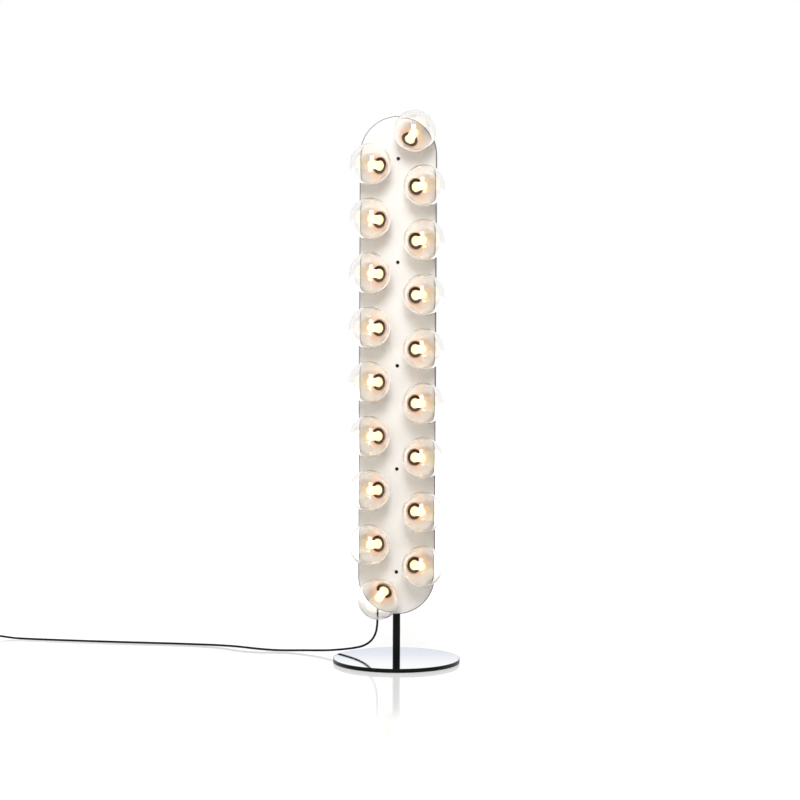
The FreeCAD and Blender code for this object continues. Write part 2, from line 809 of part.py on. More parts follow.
def make_switch():
    entry = V(*cord_route[-1])
    near_x, far_x = entry.x - switch_relief_l, entry.x - switch_relief_l - switch_l
    middle = V((near_x + far_x) / 2, entry.y, 0)
    roof = switch_h - switch_wall

    passage_end = V(near_x + overrun, entry.y, entry.z)
    passage = rod(switch_relief_big_r + slip, V(far_x - overrun, entry.y, entry.z), passage_end)
    base = oblong(0, 0, entry.z).cut(oblong(switch_wall, switch_wall, entry.z))
    cover = oblong(0, entry.z, switch_h - entry.z)
    cover = cover.makeFillet(switch_crown_r, edges_at(cover, lambda p: abs(p.z - switch_h) < slip))
    cover = cover.cut(oblong(switch_wall, entry.z, roof - entry.z))
    screws = []
    for sx in (-1, 1):
        for sy in (-1, 1):
            x = middle.x + sx * (switch_l / 2 - post_inset_x)
            y = middle.y + sy * (switch_w / 2 - post_inset_y)
            base = base.fuse(rod(post_r, V(x, y, switch_wall), V(x, y, entry.z)))
            cover = cover.fuse(rod(post_r, V(x, y, entry.z), V(x, y, roof)))
            head_top = switch_screw_head_h + gap
            base = base.cut(rod(switch_screw_head_r + gap, V(x, y, 0), V(x, y, head_top)))
            base = base.cut(rod(switch_screw_r + slip, V(x, y, 0), V(x, y, entry.z)))
            tip = V(x, y, (entry.z + roof) / 2)
            cover = cover.cut(rod(switch_screw_r + slip, V(x, y, entry.z), tip))
            head = rod(switch_screw_head_r, V(x, y, gap), V(x, y, head_top))
            screws.append(head.fuse(rod(switch_screw_r, V(x, y, head_top), tip)).removeSplitter())
    cover = cover.cut(rod(button_r + button_gap, middle, middle + V(0, 0, switch_h + overrun)))
    save("switch_base", base.cut(passage).removeSplitter())
    save("switch_cover", cover.cut(passage).removeSplitter())
    save("switch_screws", screws)

    reliefs = []
    for inner_x, tip_x in ((near_x, near_x + switch_relief_l), (far_x, far_x - switch_relief_l)):
        out = V(tip_x - inner_x, 0, 0).normalize()
        face, tip = V(inner_x, entry.y, entry.z), V(tip_x, entry.y, entry.z)
        cone = Part.makeCone(switch_relief_big_r, switch_relief_small_r, switch_relief_l, face, out)
        inside = face - out * (switch_wall + gap)
        collar = rod(switch_relief_flange_r, inside, inside - out * switch_relief_flange_t)
        reliefs.append(cone.fuse(rod(switch_relief_big_r, inside, face)).fuse(collar).removeSplitter())
    save("switch_reliefs", reliefs)

    block_top = switch_wall + contact_h
    corner = V(contact_l / 2, contact_w / 2, 0)
    block = box(middle - corner + V(0, 0, switch_wall), middle + corner + V(0, 0, block_top))
    pip = rod(contact_pip_r, middle + V(0, 0, block_top), middle + V(0, 0, block_top + contact_pip_h))
    save("switch_contact", block.fuse(pip).removeSplitter())

    foot_z = block_top + spring_rise
    flange_top = roof - slip
    top = switch_h + button_proud
    button = rod(button_r, middle + V(0, 0, foot_z), middle + V(0, 0, top))
    button = button.makeFillet(button_crown_r, edges_at(button, lambda p: abs(p.z - top) < slip))
    flange_low = middle + V(0, 0, flange_top - button_flange_t)
    button = button.fuse(rod(button_flange_r, flange_low, middle + V(0, 0, flange_top)))
    save("switch_button", button.removeSplitter())
    save("switch_spring", make_spring(middle, block_top, foot_z))
    print("button travel", button_travel, "spring from", block_top, "to", foot_z)
    return V(far_x - switch_relief_l, entry.y, entry.z)


def make_spring(middle, low, high):
    """A coil spring between two heights, as arcs of a quarter turn, with its ends on the seats."""
    r = spring_r - spring_wire_r
    start, rise = low + spring_wire_r + slip, high - low - 2 * (spring_wire_r + slip)
    steps = 4 * spring_turns
    climb = rise / steps
    stations = []
    for i in range(steps + 1):
        a = math.radians(QUARTER_TURN * i)
        at = middle + V(r * math.cos(a), r * math.sin(a), start + climb * i)
        slope = climb / (math.radians(QUARTER_TURN) * r)
        along = V(-math.sin(a), math.cos(a), slope).normalize()
        stations.append((at, along))
    edges = []
    for (a, along_a), (b, along_b) in zip(stations, stations[1:]):
        edges += biarc(a, along_a, b, along_b)[0]
    return swept(edges, spring_wire_r)[0]


def coil_point(turn, centre):
    """A point of the coil: in along the floor, up where it turns back, and out on top."""
    inner_r = coil_r - coil_pitch * coil_turns
    low = tie_t + tie_slack + cord_r
    if turn < coil_turns:
        r, z = coil_r - coil_pitch * turn, low
    elif turn < coil_turns + 0.5:
        v = turn - coil_turns
        w = 2 * v
        r = inner_r - coil_pitch * v + 2 * coil_pitch * v * v
        z = low + coil_pitch * (3 * w * w - 2 * w * w * w)
    else:
        r, z = inner_r + coil_pitch * (turn - coil_turns - 0.5), low + coil_pitch
    a = math.radians(QUARTER_TURN + FULL_TURN * turn)
    return centre + V(r * math.cos(a), r * math.sin(a), z)


def make_coil(start):
    """The put-away length: out of the switch, wound in and out in two layers, and to the plug."""
    centre = V(start.x - 2 * cord_r - coil_lead, start.y - coil_r, 0)
    total = 2 * coil_turns + 0.5
    steps = int(4 * total)
    stations = []
    for i in range(steps + 1):
        turn = total * i / steps
        ahead, behind = coil_point(turn + 1e-4, centre), coil_point(turn - 1e-4, centre)
        stations.append((coil_point(turn, centre), (ahead - behind).normalize()))
    lead_in = [(start, -X_AXIS), (start - X_AXIS * 2 * cord_r, -X_AXIS)]
    end = V(centre.x + coil_lead + 2 * cord_r, centre.y - coil_r, plug_r + gap)
    lead_out = [(end - X_AXIS * 2 * cord_r, X_AXIS), (end, X_AXIS)]
    edges = [Part.LineSegment(lead_in[0][0], lead_in[1][0]).toShape()]
    radii = []
    stations = lead_in[1:] + stations + lead_out[:1]
    for (a, along_a), (b, along_b) in zip(stations, stations[1:]):
        arcs, bends = biarc(a, along_a, b, along_b)
        edges += arcs
        radii += bends
    edges.append(Part.LineSegment(lead_out[0][0], lead_out[1][0]).toShape())
    coil, length = swept(edges, cord_r)
    report_sweep("cord_coil", coil, length, cord_r, radii)
    report_gap(edges)
    save("cord_coil", coil)

    reach_in = coil_r - coil_pitch * (coil_turns + 0.5) - cord_r
    top = tie_t + 2 * tie_slack + 2 * cord_r + coil_pitch
    low = V(centre.x - coil_r - cord_r - tie_slack, centre.y - tie_w / 2, tie_t)
    high = V(centre.x - reach_in + tie_slack, centre.y + tie_w / 2, top)
    skin = V(tie_t, 0, tie_t)
    save("coil_tie", box(low - skin, high + skin).cut(box(low, high)))
    return end, length


def report_gap(edges):
    """Print the least distance from the coil's surface to another turn of its own."""
    points, along = [], 0.0
    for edge in edges:
        count = max(2, int(edge.Length / cord_r))
        for i in range(count):
            share = i / count
            at = edge.valueAt(edge.FirstParameter + share * (edge.LastParameter - edge.FirstParameter))
            points.append((at, along + share * edge.Length))
        along += edge.Length
    far = 6 * cord_r
    least = min((p - q).Length for p, s in points for q, t in points if t - s > far)
    print("coil self gap", round(least - 2 * cord_r, 2))


def make_plug(tip):
    """The plug: a tapered relief, a waisted grip and a round face with two pins."""
    relief_end, face = plug_relief_l, plug_relief_l + plug_body_l
    shoulder = face - plug_face_l
    body = turned([
        (0, 0), (plug_relief_small_r, 0), (plug_relief_big_r, relief_end), (plug_grip_r, relief_end),
        (plug_grip_r, shoulder - plug_edge_r), (plug_r - plug_edge_r, shoulder),
        (plug_r, shoulder + plug_edge_r), (plug_r, face - plug_edge_r),
        (plug_r - plug_edge_r, face), (0, face),
    ])
    body.Placement = FreeCAD.Placement(tip, FreeCAD.Rotation(Z_AXIS, X_AXIS))
    pins = []
    for side in (-1, 1):
        root = tip + V(face - pin_seat, side * pin_spacing / 2, 0)
        end = tip + V(face + pin_l, side * pin_spacing / 2, 0)
        pin = rod(pin_r, root, end)
        pin = pin.makeFillet(pin_r / 2, edges_at(pin, lambda p: abs(p.x - end.x) < slip))
        pins.append(pin)
        body = body.cut(rod(pin_r, root, end))
    save("plug_body", body)
    save("plug_pins", pins)


make_base()
make_pole()
make_housing()
make_screws()
make_lamps()
make_wiring()
make_gland()
free_length = make_cord()
switch_exit = make_switch()
plug_tip, coil_length = make_coil(switch_exit)
make_plug(plug_tip)
print("cord in all", round(free_length + coil_length + switch_l + 2 * switch_relief_l))
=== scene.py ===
# %% [markdown]
# # A floor lamp with eighteen clear globes
#
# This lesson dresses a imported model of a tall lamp. A white housing with round ends stands on a
# black pole and a mirror-topped disc. Eighteen clear glass globes lean out of it, each over its
# own lit tube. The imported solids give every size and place. We add smooth meshes for what shows
# most, a finish for every surface, the mains cord, the studio and the camera.

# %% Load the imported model
import math

import bmesh
import bpy
from mathutils import Matrix, Vector


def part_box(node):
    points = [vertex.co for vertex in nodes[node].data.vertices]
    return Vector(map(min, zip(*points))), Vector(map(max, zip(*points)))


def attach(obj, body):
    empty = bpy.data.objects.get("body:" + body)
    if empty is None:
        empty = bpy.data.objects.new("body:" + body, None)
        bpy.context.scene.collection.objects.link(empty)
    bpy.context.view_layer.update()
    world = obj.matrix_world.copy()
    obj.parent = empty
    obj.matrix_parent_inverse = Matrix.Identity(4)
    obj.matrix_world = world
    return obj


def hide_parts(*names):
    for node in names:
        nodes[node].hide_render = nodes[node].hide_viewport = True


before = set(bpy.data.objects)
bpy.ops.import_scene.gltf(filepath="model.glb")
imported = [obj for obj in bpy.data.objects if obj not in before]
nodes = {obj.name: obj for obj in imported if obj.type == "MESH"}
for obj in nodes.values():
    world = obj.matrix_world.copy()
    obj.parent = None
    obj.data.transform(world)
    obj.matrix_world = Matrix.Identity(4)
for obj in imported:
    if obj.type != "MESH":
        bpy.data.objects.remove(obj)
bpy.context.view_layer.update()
mm = 0.001
print("solids loaded:", len(nodes), "nodes")

# %% [markdown]
# ## The camera
#
# The picture was taken from about five metres away with a longish lens, a little to the right of
# the lamp and slightly above its middle. We give the camera's place and its three small turns,
# because a fitted camera makes every later comparison easy. The lens is written for a square
# picture on a sensor 36 mm wide.

# %% Camera
camera_place = Vector((222.97, -5229.5, 919.6)) * mm
camera_turn = math.radians(2.357)
camera_down = math.radians(0.992)
camera_roll = math.radians(0.275)
upright = math.radians(90)
lens_length = 74.65
sensor_width = 36

camera_data = bpy.data.cameras.new("camera")
camera_data.lens = lens_length
camera_data.sensor_width = sensor_width
camera = bpy.data.objects.new("camera", camera_data)
bpy.context.scene.collection.objects.link(camera)
aim = Matrix.Rotation(camera_turn, 4, "Z") @ Matrix.Rotation(upright - camera_down, 4, "X")
camera.matrix_world = Matrix.Translation(camera_place) @ aim @ Matrix.Rotation(camera_roll, 4, "Z")
bpy.context.scene.camera = camera
bpy.context.scene.view_settings.view_transform = "Standard"

# %% [markdown]
# ## The mains cord
#
# A cord is a smooth line with a round section. A NURBS curve of order 3 is a good model of it:
# its control points are places that the cord passes close to, and it has no kinks between them.
# The route leaves the gland straight down, sweeps back past the disc, touches the floor, rises in
# one low hump where the lead is still stiff from its packing, and then lies on the floor.

# %% Free cord
cord_r = 3.5 * mm
section_steps = 6
span_steps = 8
curve_order = 3
cord_route = [
    (-61.5, 26.0, 181.0),
    (-61.5, 26.0, 152.0),
    (-62.0, 29.0, 118.0),
    (-66.0, 35.5, 87.0),
    (-81.0, 44.0, 59.0),
    (-107.0, 54.5, 40.5),
    (-141.0, 74.0, 30.0),
    (-180.0, 91.5, 22.5),
    (-222.0, 115.0, 15.0),
    (-268.0, 140.0, 10.0),
    (-325.0, 161.0, 6.3),
    (-392.0, 169.5, 3.6),
    (-462.0, 176.0, 6.6),
    (-532.0, 212.0, 7.8),
    (-600.0, 252.0, 4.6),
    (-676.0, 271.0, 3.5),
    (-762.0, 283.0, 3.5),
    (-856.0, 291.0, 3.5),
    (-956.0, 301.0, 3.5),
    (-1058.0, 313.0, 3.5),
    (-1160.0, 326.0, 3.5),
    (-1256.0, 341.0, 3.5),
    (-1316.0, 352.0, 3.8),
    (-1356.0, 357.0, 8.0),
    (-1392.0, 358.0, 13.0),
    (-1420.0, 358.0, 13.0),
]


def cord_curve(name, points):
    """A round cord along control points, given in metres."""
    curve = bpy.data.curves.new(name, "CURVE")
    curve.dimensions = "3D"
    curve.bevel_depth = cord_r
    curve.bevel_resolution = section_steps
    curve.resolution_u = span_steps
    curve.use_fill_caps = True
    spline = curve.splines.new("NURBS")
    spline.points.add(len(points) - 1)
    for point, place in zip(spline.points, points):
        point.co = (*place, 1)
    spline.order_u = curve_order
    spline.use_endpoint_u = True
    piece = bpy.data.objects.new(name, curve)
    bpy.context.scene.collection.objects.link(piece)
    return piece


free_points = [Vector(place) * mm for place in cord_route]
mains_cord = cord_curve("mains_cord", free_points)

# %% [markdown]
# The rest of the cord is put away outside the picture, wound in three turns on the floor and three
# more on top of them. Its turns come from a loop, so that they keep an even step, and its first
# and last points run straight into the switch and the plug.

# %% Put-away coil
coil_turns = 3
coil_r = 51.0
coil_pitch = 7.7
coil_lead = 40.0
floor_gap = 1.0
points_a_turn = 24
plug_height = 19.3
stub = Vector((7, 0, 0))
switch_dip = Vector((24, 0, 4))
plug_dip = Vector((24, 0, 3))

switch_end = Vector((-1560.0, 358.0, 13.0))
coil_centre = Vector((switch_end.x - stub.x - coil_lead, switch_end.y - coil_r, 0))


def coil_place(turn):
    """A place on the coil: in along the floor, up in the half turn where it reverses, and out."""
    inner_r = coil_r - coil_pitch * coil_turns
    low = floor_gap + cord_r / mm
    share = min(max(2 * (turn - coil_turns), 0), 1)
    if turn < coil_turns:
        r = coil_r - coil_pitch * turn
    elif turn < coil_turns + 0.5:
        v = turn - coil_turns
        r = inner_r - coil_pitch * v + 2 * coil_pitch * v * v
    else:
        r = inner_r + coil_pitch * (turn - coil_turns - 0.5)
    a = math.radians(90 + 360 * turn)
    climb = coil_pitch * (3 * share**2 - 2 * share**3)
    return coil_centre + Vector((r * math.cos(a), r * math.sin(a), low + climb))


turn_count = 2 * coil_turns + 0.5
steps = round(turn_count * points_a_turn)
coil_points = [switch_end, switch_end - stub, switch_end - switch_dip]
coil_points += [coil_place(turn_count * i / steps) for i in range(steps + 1)]
plug_tip = Vector((coil_centre.x + coil_lead + stub.x, coil_centre.y - coil_r, plug_height))
coil_points += [plug_tip - plug_dip, plug_tip - stub, plug_tip]
cord_coil = cord_curve("cord_coil_wound", [place * mm for place in coil_points])
print("cord points:", len(cord_route), "free and", len(coil_points), "wound")

# %% [markdown]
# ## Shader arithmetic
#
# A procedural finish is mostly arithmetic on noise. Written with nodes alone it is long, so we
# wrap a socket in a small class that overloads Python's operators: `1 - mask * 0.2` adds the
# Math nodes by itself. Every other node comes from one method, which takes the node's type, its
# settings and its inputs.

# %% Shader tools


class Socket:
    """An output of a node, with arithmetic that adds Math nodes."""

    def __init__(self, finish, output):
        self.finish = finish
        self.output = output

    def maths(self, operation, first, second):
        return self.finish.add("ShaderNodeMath", {"operation": operation}, {0: first, 1: second})

    def __add__(self, other):
        return self.maths("ADD", self, other)

    def __rsub__(self, other):
        return self.maths("SUBTRACT", other, self)

    def __mul__(self, other):
        return self.maths("MULTIPLY", self, other)

    def at_least(self, other):
        return self.maths("MAXIMUM", self, other)

    def at_most(self, other):
        return self.maths("MINIMUM", self, other)


class Finish:
    """One material, or the world, and its node tree."""

    def __init__(self, name, owner=None):
        self.material = owner or bpy.data.materials.new(name)
        self.material.use_nodes = True
        self.tree = self.material.node_tree
        self.tree.nodes.clear()

    def add(self, kind, settings=None, inputs=None, output=0):
        """Add a node: its settings first, then a value or a link for each input."""
        node = self.tree.nodes.new(kind)
        for key, value in (settings or {}).items():
            setattr(node, key, value)
        for key, value in (inputs or {}).items():
            if isinstance(value, Socket):
                self.tree.links.new(value.output, node.inputs[key])
            else:
                node.inputs[key].default_value = value
        return Socket(self, node.outputs[output]) if node.outputs else node

    def place(self):
        """Places on the object, in metres."""
        return self.add("ShaderNodeTexCoord", output="Object")

    def axis(self, vector, name):
        """One coordinate of a vector."""
        return self.add("ShaderNodeSeparateXYZ", {}, {0: vector}, output=name)

    def noise(self, scale, detail=2.0, stretch=None):
        """Smooth noise, with its scale in waves a metre."""
        where = self.place()
        if stretch:
            where = self.add("ShaderNodeMapping", {}, {"Vector": where, "Scale": stretch})
        inputs = {"Vector": where, "Scale": scale, "Detail": detail}
        return self.add("ShaderNodeTexNoise", {}, inputs)

    def mask(self, value, start, end, first=0.0, last=1.0):
        """A smooth step from a first to a last level, while a value goes from start to end."""
        settings = {"interpolation_type": "SMOOTHSTEP"}
        levels = {"To Min": first, "To Max": last}
        inputs = {"Value": value, "From Min": start, "From Max": end, **levels}
        return self.add("ShaderNodeMapRange", settings, inputs)

    def between(self, low, high, mask):
        """A colour between two colours. Each is three numbers or an output."""
        low, high = [end if isinstance(end, Socket) else (*end, 1) for end in (low, high)]
        settings = {"data_type": "RGBA", "clamp_factor": True}
        return self.add("ShaderNodeMix", settings, {0: mask, 6: low, 7: high}, output=2)

    def bump(self, height, depth):
        """A normal from a height map, with its depth in metres."""
        return self.add("ShaderNodeBump", {}, {"Height": height, "Distance": depth})

    def surface(self, shader):
        self.add("ShaderNodeOutputMaterial", {}, {"Surface": shader})
        return self.material

    def principled(self, **inputs):
        """Finish the material with one Principled shader; names use _ for a space."""
        named = {key.replace("_", " "): value for key, value in inputs.items()}
        return self.surface(self.add("ShaderNodeBsdfPrincipled", {}, named))


# %% [markdown]
# ## Lacquers
#
# The housing is sheet metal in a warm white satin lacquer. Real lacquer has a faint orange peel,
# a ripple a few millimetres wide, and its gloss varies a little. Both come from noise, one for the
# bump and one for the roughness, and the colour drifts by a few percent. The pole and the disc
# have the same lacquer in black. The tray's colour follows later, with its shape.

# %% Lacquer finishes


peel_waves = 420.0
peel_depth = 0.00002
gloss_waves = 40.0
gloss_swing = 0.12
cloud_waves = 9.0
coat_roughness = 0.12


def sprayed(finish, colour, roughness, coat=0.0, shine=0.5):
    """A sprayed coat in a colour, with an orange-peel ripple and uneven gloss."""
    return finish.principled(
        Base_Color=colour,
        Roughness=finish.noise(gloss_waves, 4.0) * gloss_swing + (roughness - gloss_swing / 2),
        Normal=finish.bump(finish.noise(peel_waves), peel_depth),
        Specular_IOR_Level=shine,
        Coat_Weight=coat,
        Coat_Roughness=coat_roughness,
    )


def lacquer(name, light, dark, roughness, coat=0.0, shine=0.5):
    """Sprayed lacquer in two close tones."""
    finish = Finish(name)
    colour = finish.between(dark, light, finish.noise(cloud_waves, 3.0))
    return sprayed(finish, colour, roughness, coat, shine)


white_lacquer = lacquer("white_lacquer", (0.89, 0.88, 0.86), (0.86, 0.85, 0.83), 0.38, 0.15)
black_lacquer = lacquer(
    "black_lacquer", (0.006, 0.006, 0.006), (0.003, 0.003, 0.003), 0.30, shine=0.25
)
bronze_ring = lacquer("bronze_ring", (0.085, 0.026, 0.006), (0.060, 0.017, 0.004), 0.42, shine=0.1)
black_screw = lacquer("black_screw", (0.005, 0.005, 0.005), (0.003, 0.003, 0.003), 0.4, shine=0.3)

# %% [markdown]
# ## Metals
#
# Turned and drawn steel shows fine lines along the way that it was worked, so its noise is
# stretched. The mirror sheet on the disc is almost perfect: only a very faint haze and a few
# hairline wipe marks keep it from looking like a hole in the picture. Its colour also goes from
# near white at the front to a darker blue-grey at the rear, which is a painted reflection.

# %% Metal finishes


line_waves = 900.0
line_depth = 0.00001
mirror_front = -0.16
mirror_rear = 0.17


def worked_metal(name, colour, roughness, stretch):
    """Bright metal with fine lines along one direction."""
    finish = Finish(name)
    lines = finish.noise(line_waves, 3.0, stretch)
    tone = finish.between([c * 0.8 for c in colour], colour, lines)
    return finish.principled(
        Base_Color=tone,
        Metallic=1.0,
        Roughness=lines * 0.14 + roughness,
        Normal=finish.bump(lines, line_depth),
    )


zinc_steel = worked_metal("zinc_steel", (0.62, 0.63, 0.65), 0.28, (1, 1, 0.1))
spring_steel = worked_metal("spring_steel", (0.5, 0.5, 0.52), 0.25, (1, 1, 0.1))
cap_brass = worked_metal("cap_brass", (0.72, 0.56, 0.30), 0.22, (1, 1, 0.2))
nickel = worked_metal("nickel", (0.74, 0.72, 0.68), 0.16, (0.1, 1, 1))

mirror = Finish("mirror_steel")
haze = mirror.noise(14.0, 4.0)
wipes = mirror.noise(260.0, 2.0, (1, 0.06, 1))
# Painted reflection: the mirror's colour darkens to blue-grey towards the rear.
rearward = mirror.mask(mirror.axis(mirror.place(), "Y"), mirror_front, mirror_rear)
painted_reflection_tint = rearward * (haze * 0.2 + 0.9)
mirror_steel = mirror.principled(
    Base_Color=mirror.between((0.95, 0.96, 0.98), (0.60, 0.65, 0.77), painted_reflection_tint),
    Metallic=1.0,
    Roughness=haze * 0.03 + wipes * 0.015 + 0.045,
)

# %% [markdown]
# ## Plastics, rubber and ceramic
#
# Moulded plastic has a fine, even grain, and so has ceramic. Rubber is duller. One function makes
# all of them, with the grain's size and depth as its settings.

# %% Plastic finishes


grain_swing = 0.14


def moulded(name, light, dark, roughness, grain, depth, shine=0.5):
    """Moulded or drawn plastic: a fine grain in the bump and in the gloss."""
    finish = Finish(name)
    pits = finish.noise(grain, 2.0)
    dust = finish.noise(60.0, 3.0)
    return finish.principled(
        Base_Color=finish.between(dark, light, dust),
        Roughness=pits * grain_swing + (roughness - grain_swing / 2),
        Specular_IOR_Level=shine,
        Normal=finish.bump(pits, depth),
    )


black_rubber = moulded(
    "black_rubber", (0.008, 0.008, 0.008), (0.004, 0.004, 0.004), 0.5, 700.0, 0.00003, 0.3
)
black_plastic = moulded(
    "black_plastic", (0.026, 0.026, 0.028), (0.016, 0.016, 0.018), 0.46, 1500.0, 0.00003
)
button_plastic = moulded(
    "button_plastic", (0.05, 0.05, 0.055), (0.035, 0.035, 0.04), 0.25, 900.0, 0.00001
)
wire_black = moulded("wire_black", (0.04, 0.04, 0.042), (0.025, 0.025, 0.027), 0.42, 500.0, 0.00002)
wire_earth = moulded("wire_earth", (0.30, 0.48, 0.07), (0.22, 0.36, 0.05), 0.42, 500.0, 0.00002)
terminal_white = moulded(
    "terminal_white", (0.80, 0.78, 0.72), (0.72, 0.70, 0.64), 0.4, 800.0, 0.00002
)
socket_white = moulded("socket_white", (0.86, 0.84, 0.79), (0.80, 0.77, 0.71), 0.3, 300.0, 0.00003)
pad_rubber = moulded("pad_rubber", (0.03, 0.03, 0.03), (0.015, 0.015, 0.015), 0.75, 900.0, 0.0001)

# %% [markdown]
# ## Glass and light
#
# The globes are clear blown glass, so the shader is a plain dielectric with full transmission and
# no roughness. Blown glass is never quite even: a very slow, shallow ripple bends the highlights a
# little. The rear half of each globe also carries painted light: a weak emission, orange at the
# mouth for the tube's light, and paler and brighter lower down for the softbox's light that the
# globe focuses there. It is placed by a map that says how high and how far forward a point lies on
# its own globe. The tube inside is opal and lit in a warm white.

# %% Glass finishes
glass = Finish("clear_glass")
ripple_depth = 0.0002
gleam_above = (0.21, 0.155, 0.13)
gleam_below = (0.46, 0.42, 0.38)
gleam_mouth = (0.80, 0.34, 0.10)


def lit_map(axis):
    """Where a point lies on its own globe, from 0 to 1: X is the height, Y is the way forward."""
    return glass.axis(glass.add("ShaderNodeUVMap", {"uv_map": "lit"}), axis)


# Painted light: the glass's emission stands in for the tube's light and the focused softbox light.
gleam = glass.between(gleam_above, gleam_below, glass.mask(lit_map("X"), 0.22, 0.5, 1, 0))
gleam = glass.between(gleam, gleam_mouth, glass.mask(lit_map("Y"), 0.05, 0.20, 1, 0))
gleam = glass.between((0, 0, 0), gleam, glass.mask(lit_map("Y"), 0.25, 0.43, 1, 0))
clear_glass = glass.principled(
    Base_Color=glass.between((0.996, 0.990, 0.980), (0.998, 0.994, 0.986), glass.noise(20.0)),
    Roughness=0.0,
    IOR=1.5,
    Transmission_Weight=1.0,
    Normal=glass.bump(glass.noise(28.0, 1.0), ripple_depth),
    Emission_Color=gleam,
    Emission_Strength=0.25,
)

opal = Finish("lit_opal")
warm = opal.noise(60.0)
lit_opal = opal.principled(
    Base_Color=opal.between((0.50, 0.48, 0.40), (0.56, 0.54, 0.46), warm),
    Roughness=0.35,
    Emission_Color=opal.between((1.0, 0.72, 0.28), (1.0, 0.75, 0.31), warm),
    Emission_Strength=2.3,
)

# %% [markdown]
# ## Modelling tools
#
# Every new piece is made with Blender's own operators. They act on whatever is selected, so we
# deselect everything first, and then select by place. These few helpers keep the steps below short.

# %% Modelling tools
smooth_angle = math.radians(35)
soften_angle = math.radians(40)
full_turn = math.radians(360)
lathe_turns = 64
weld = 0.000005


def begin(piece):
    """Open one piece in edit mode, alone and with nothing selected."""
    bpy.ops.object.select_all(action="DESELECT")
    piece.select_set(True)
    bpy.context.view_layer.objects.active = piece
    bpy.ops.object.mode_set(mode="EDIT")
    bpy.ops.mesh.select_mode(type="VERT")
    bpy.ops.mesh.select_all(action="DESELECT")


def choose(piece, test):
    """Select the vertices whose place passes a test, with the edges and faces between them."""
    bpy.ops.mesh.select_all(action="DESELECT")
    cage = bmesh.from_edit_mesh(piece.data)
    for vertex in cage.verts:
        vertex.select = test(vertex.co)
    cage.select_flush(True)
    bmesh.update_edit_mesh(piece.data)


def end():
    bpy.ops.object.mode_set(mode="OBJECT")


def added(name):
    """Name the primitive that was just added, and put its place into its mesh."""
    piece = bpy.context.object
    piece.name = name
    piece.data.name = name
    bpy.ops.object.transform_apply(location=True, rotation=True, scale=True)
    return piece


def apply(piece, kind, **settings):
    """Add a modifier and apply it at once."""
    bpy.context.view_layer.objects.active = piece
    modifier = piece.modifiers.new(kind.lower(), kind)
    for key, value in settings.items():
        setattr(modifier, key, value)
    bpy.ops.object.modifier_apply(modifier=modifier.name)


def smooth(piece):
    """Shade round surfaces smoothly, and keep the sharper edges."""
    bpy.ops.object.select_all(action="DESELECT")
    piece.select_set(True)
    bpy.context.view_layer.objects.active = piece
    bpy.ops.object.shade_smooth_by_angle(angle=smooth_angle)


def soften(piece, width, segments):
    """Round every sharp edge."""
    apply(piece, "BEVEL", width=width, segments=segments, limit_method="ANGLE",
          angle_limit=soften_angle, harden_normals=False)


def lathe(name, outline, closed=False):
    """Draw an outline of (radius, height) points by extruding one vertex, and spin it about Z."""
    bpy.ops.object.select_all(action="DESELECT")
    bpy.ops.mesh.primitive_plane_add(size=1, location=(0, 0, 0))
    piece = added(name)
    begin(piece)
    bpy.ops.mesh.select_all(action="SELECT")
    bpy.ops.mesh.merge(type="CENTER")
    points = [Vector((r, 0, h)) for r, h in outline]
    bpy.ops.transform.translate(value=points[0])
    for before, after in zip(points, points[1:] + points[:1] * closed):
        bpy.ops.mesh.extrude_region_move(TRANSFORM_OT_translate={"value": after - before})
    bpy.ops.mesh.select_all(action="SELECT")
    bpy.ops.mesh.spin(steps=lathe_turns, angle=full_turn, center=(0, 0, 0), axis=(0, 0, 1))
    bpy.ops.mesh.select_all(action="SELECT")
    bpy.ops.mesh.remove_doubles(threshold=weld)
    bpy.ops.mesh.normals_make_consistent(inside=False)
    end()
    return piece


def dress(piece, material, slot_name, *replaced, body="root"):
    """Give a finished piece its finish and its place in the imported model."""
    piece.data.materials.clear()
    piece.data.materials.append(material)
    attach(piece, body)
    if replaced:
        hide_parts(*replaced)


# %% [markdown]
# ## The housing's tray
#
# The front is a deep tray of sheet metal: straight sides, half-round ends and a rounded rim. We
# start from a circle, pull its upper and lower halves apart to get the outline, extrude it to the
# depth, round the front edge, open the back, and give the sheet its thickness. The rounded rim
# shows as a dark line, and that line is painted shade: the colour goes near black where the rim
# slants away from the front, and back to white along the side walls.

# %% Tray
tray_low, tray_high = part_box("front_panel")
tray_r = (tray_high.x - tray_low.x) / 2
tray_middle = (tray_low.z + tray_high.z) / 2
tray_drop = (tray_high.z - tray_low.z) / 2 - tray_r
rim_r = 7 * mm
sheet = 2 * mm
rim_steps = 10
face_frame = 0.3 * mm
broken_edge = 0.6 * mm
arc_points = 192
tiny = 0.00001


def stadium(name, r, front, rear):
    """A closed slab with straight sides and half-round ends, between two depths."""
    bpy.ops.object.select_all(action="DESELECT")
    bpy.ops.mesh.primitive_circle_add(
        vertices=arc_points, radius=r, fill_type="NGON",
        location=(0, front, tray_middle), rotation=(upright, 0, 0),
    )
    slab = added(name)
    begin(slab)
    bpy.ops.mesh.select_all(action="SELECT")
    bpy.ops.transform.rotate(
        value=math.pi / arc_points, orient_axis="Y", center_override=(0, front, tray_middle)
    )
    choose(slab, lambda co: co.z > tray_middle)
    bpy.ops.transform.translate(value=(0, 0, tray_drop))
    choose(slab, lambda co: co.z < tray_middle)
    bpy.ops.transform.translate(value=(0, 0, -tray_drop))
    bpy.ops.mesh.select_all(action="SELECT")
    bpy.ops.mesh.extrude_region_move(TRANSFORM_OT_translate={"value": (0, rear - front, 0)})
    bpy.ops.mesh.select_all(action="SELECT")
    bpy.ops.mesh.normals_make_consistent(inside=False)
    return slab


def round_loop(piece, y, width, segments):
    """Round the outline edge at a depth, and frame the flat face with a narrow inset."""
    choose(piece, lambda co: abs(co.y - y) < tiny)
    bpy.ops.mesh.bevel(offset=width, segments=segments, affect="EDGES")
    choose(piece, lambda co: abs(co.y - y) < tiny)
    bpy.ops.mesh.inset(thickness=face_frame)


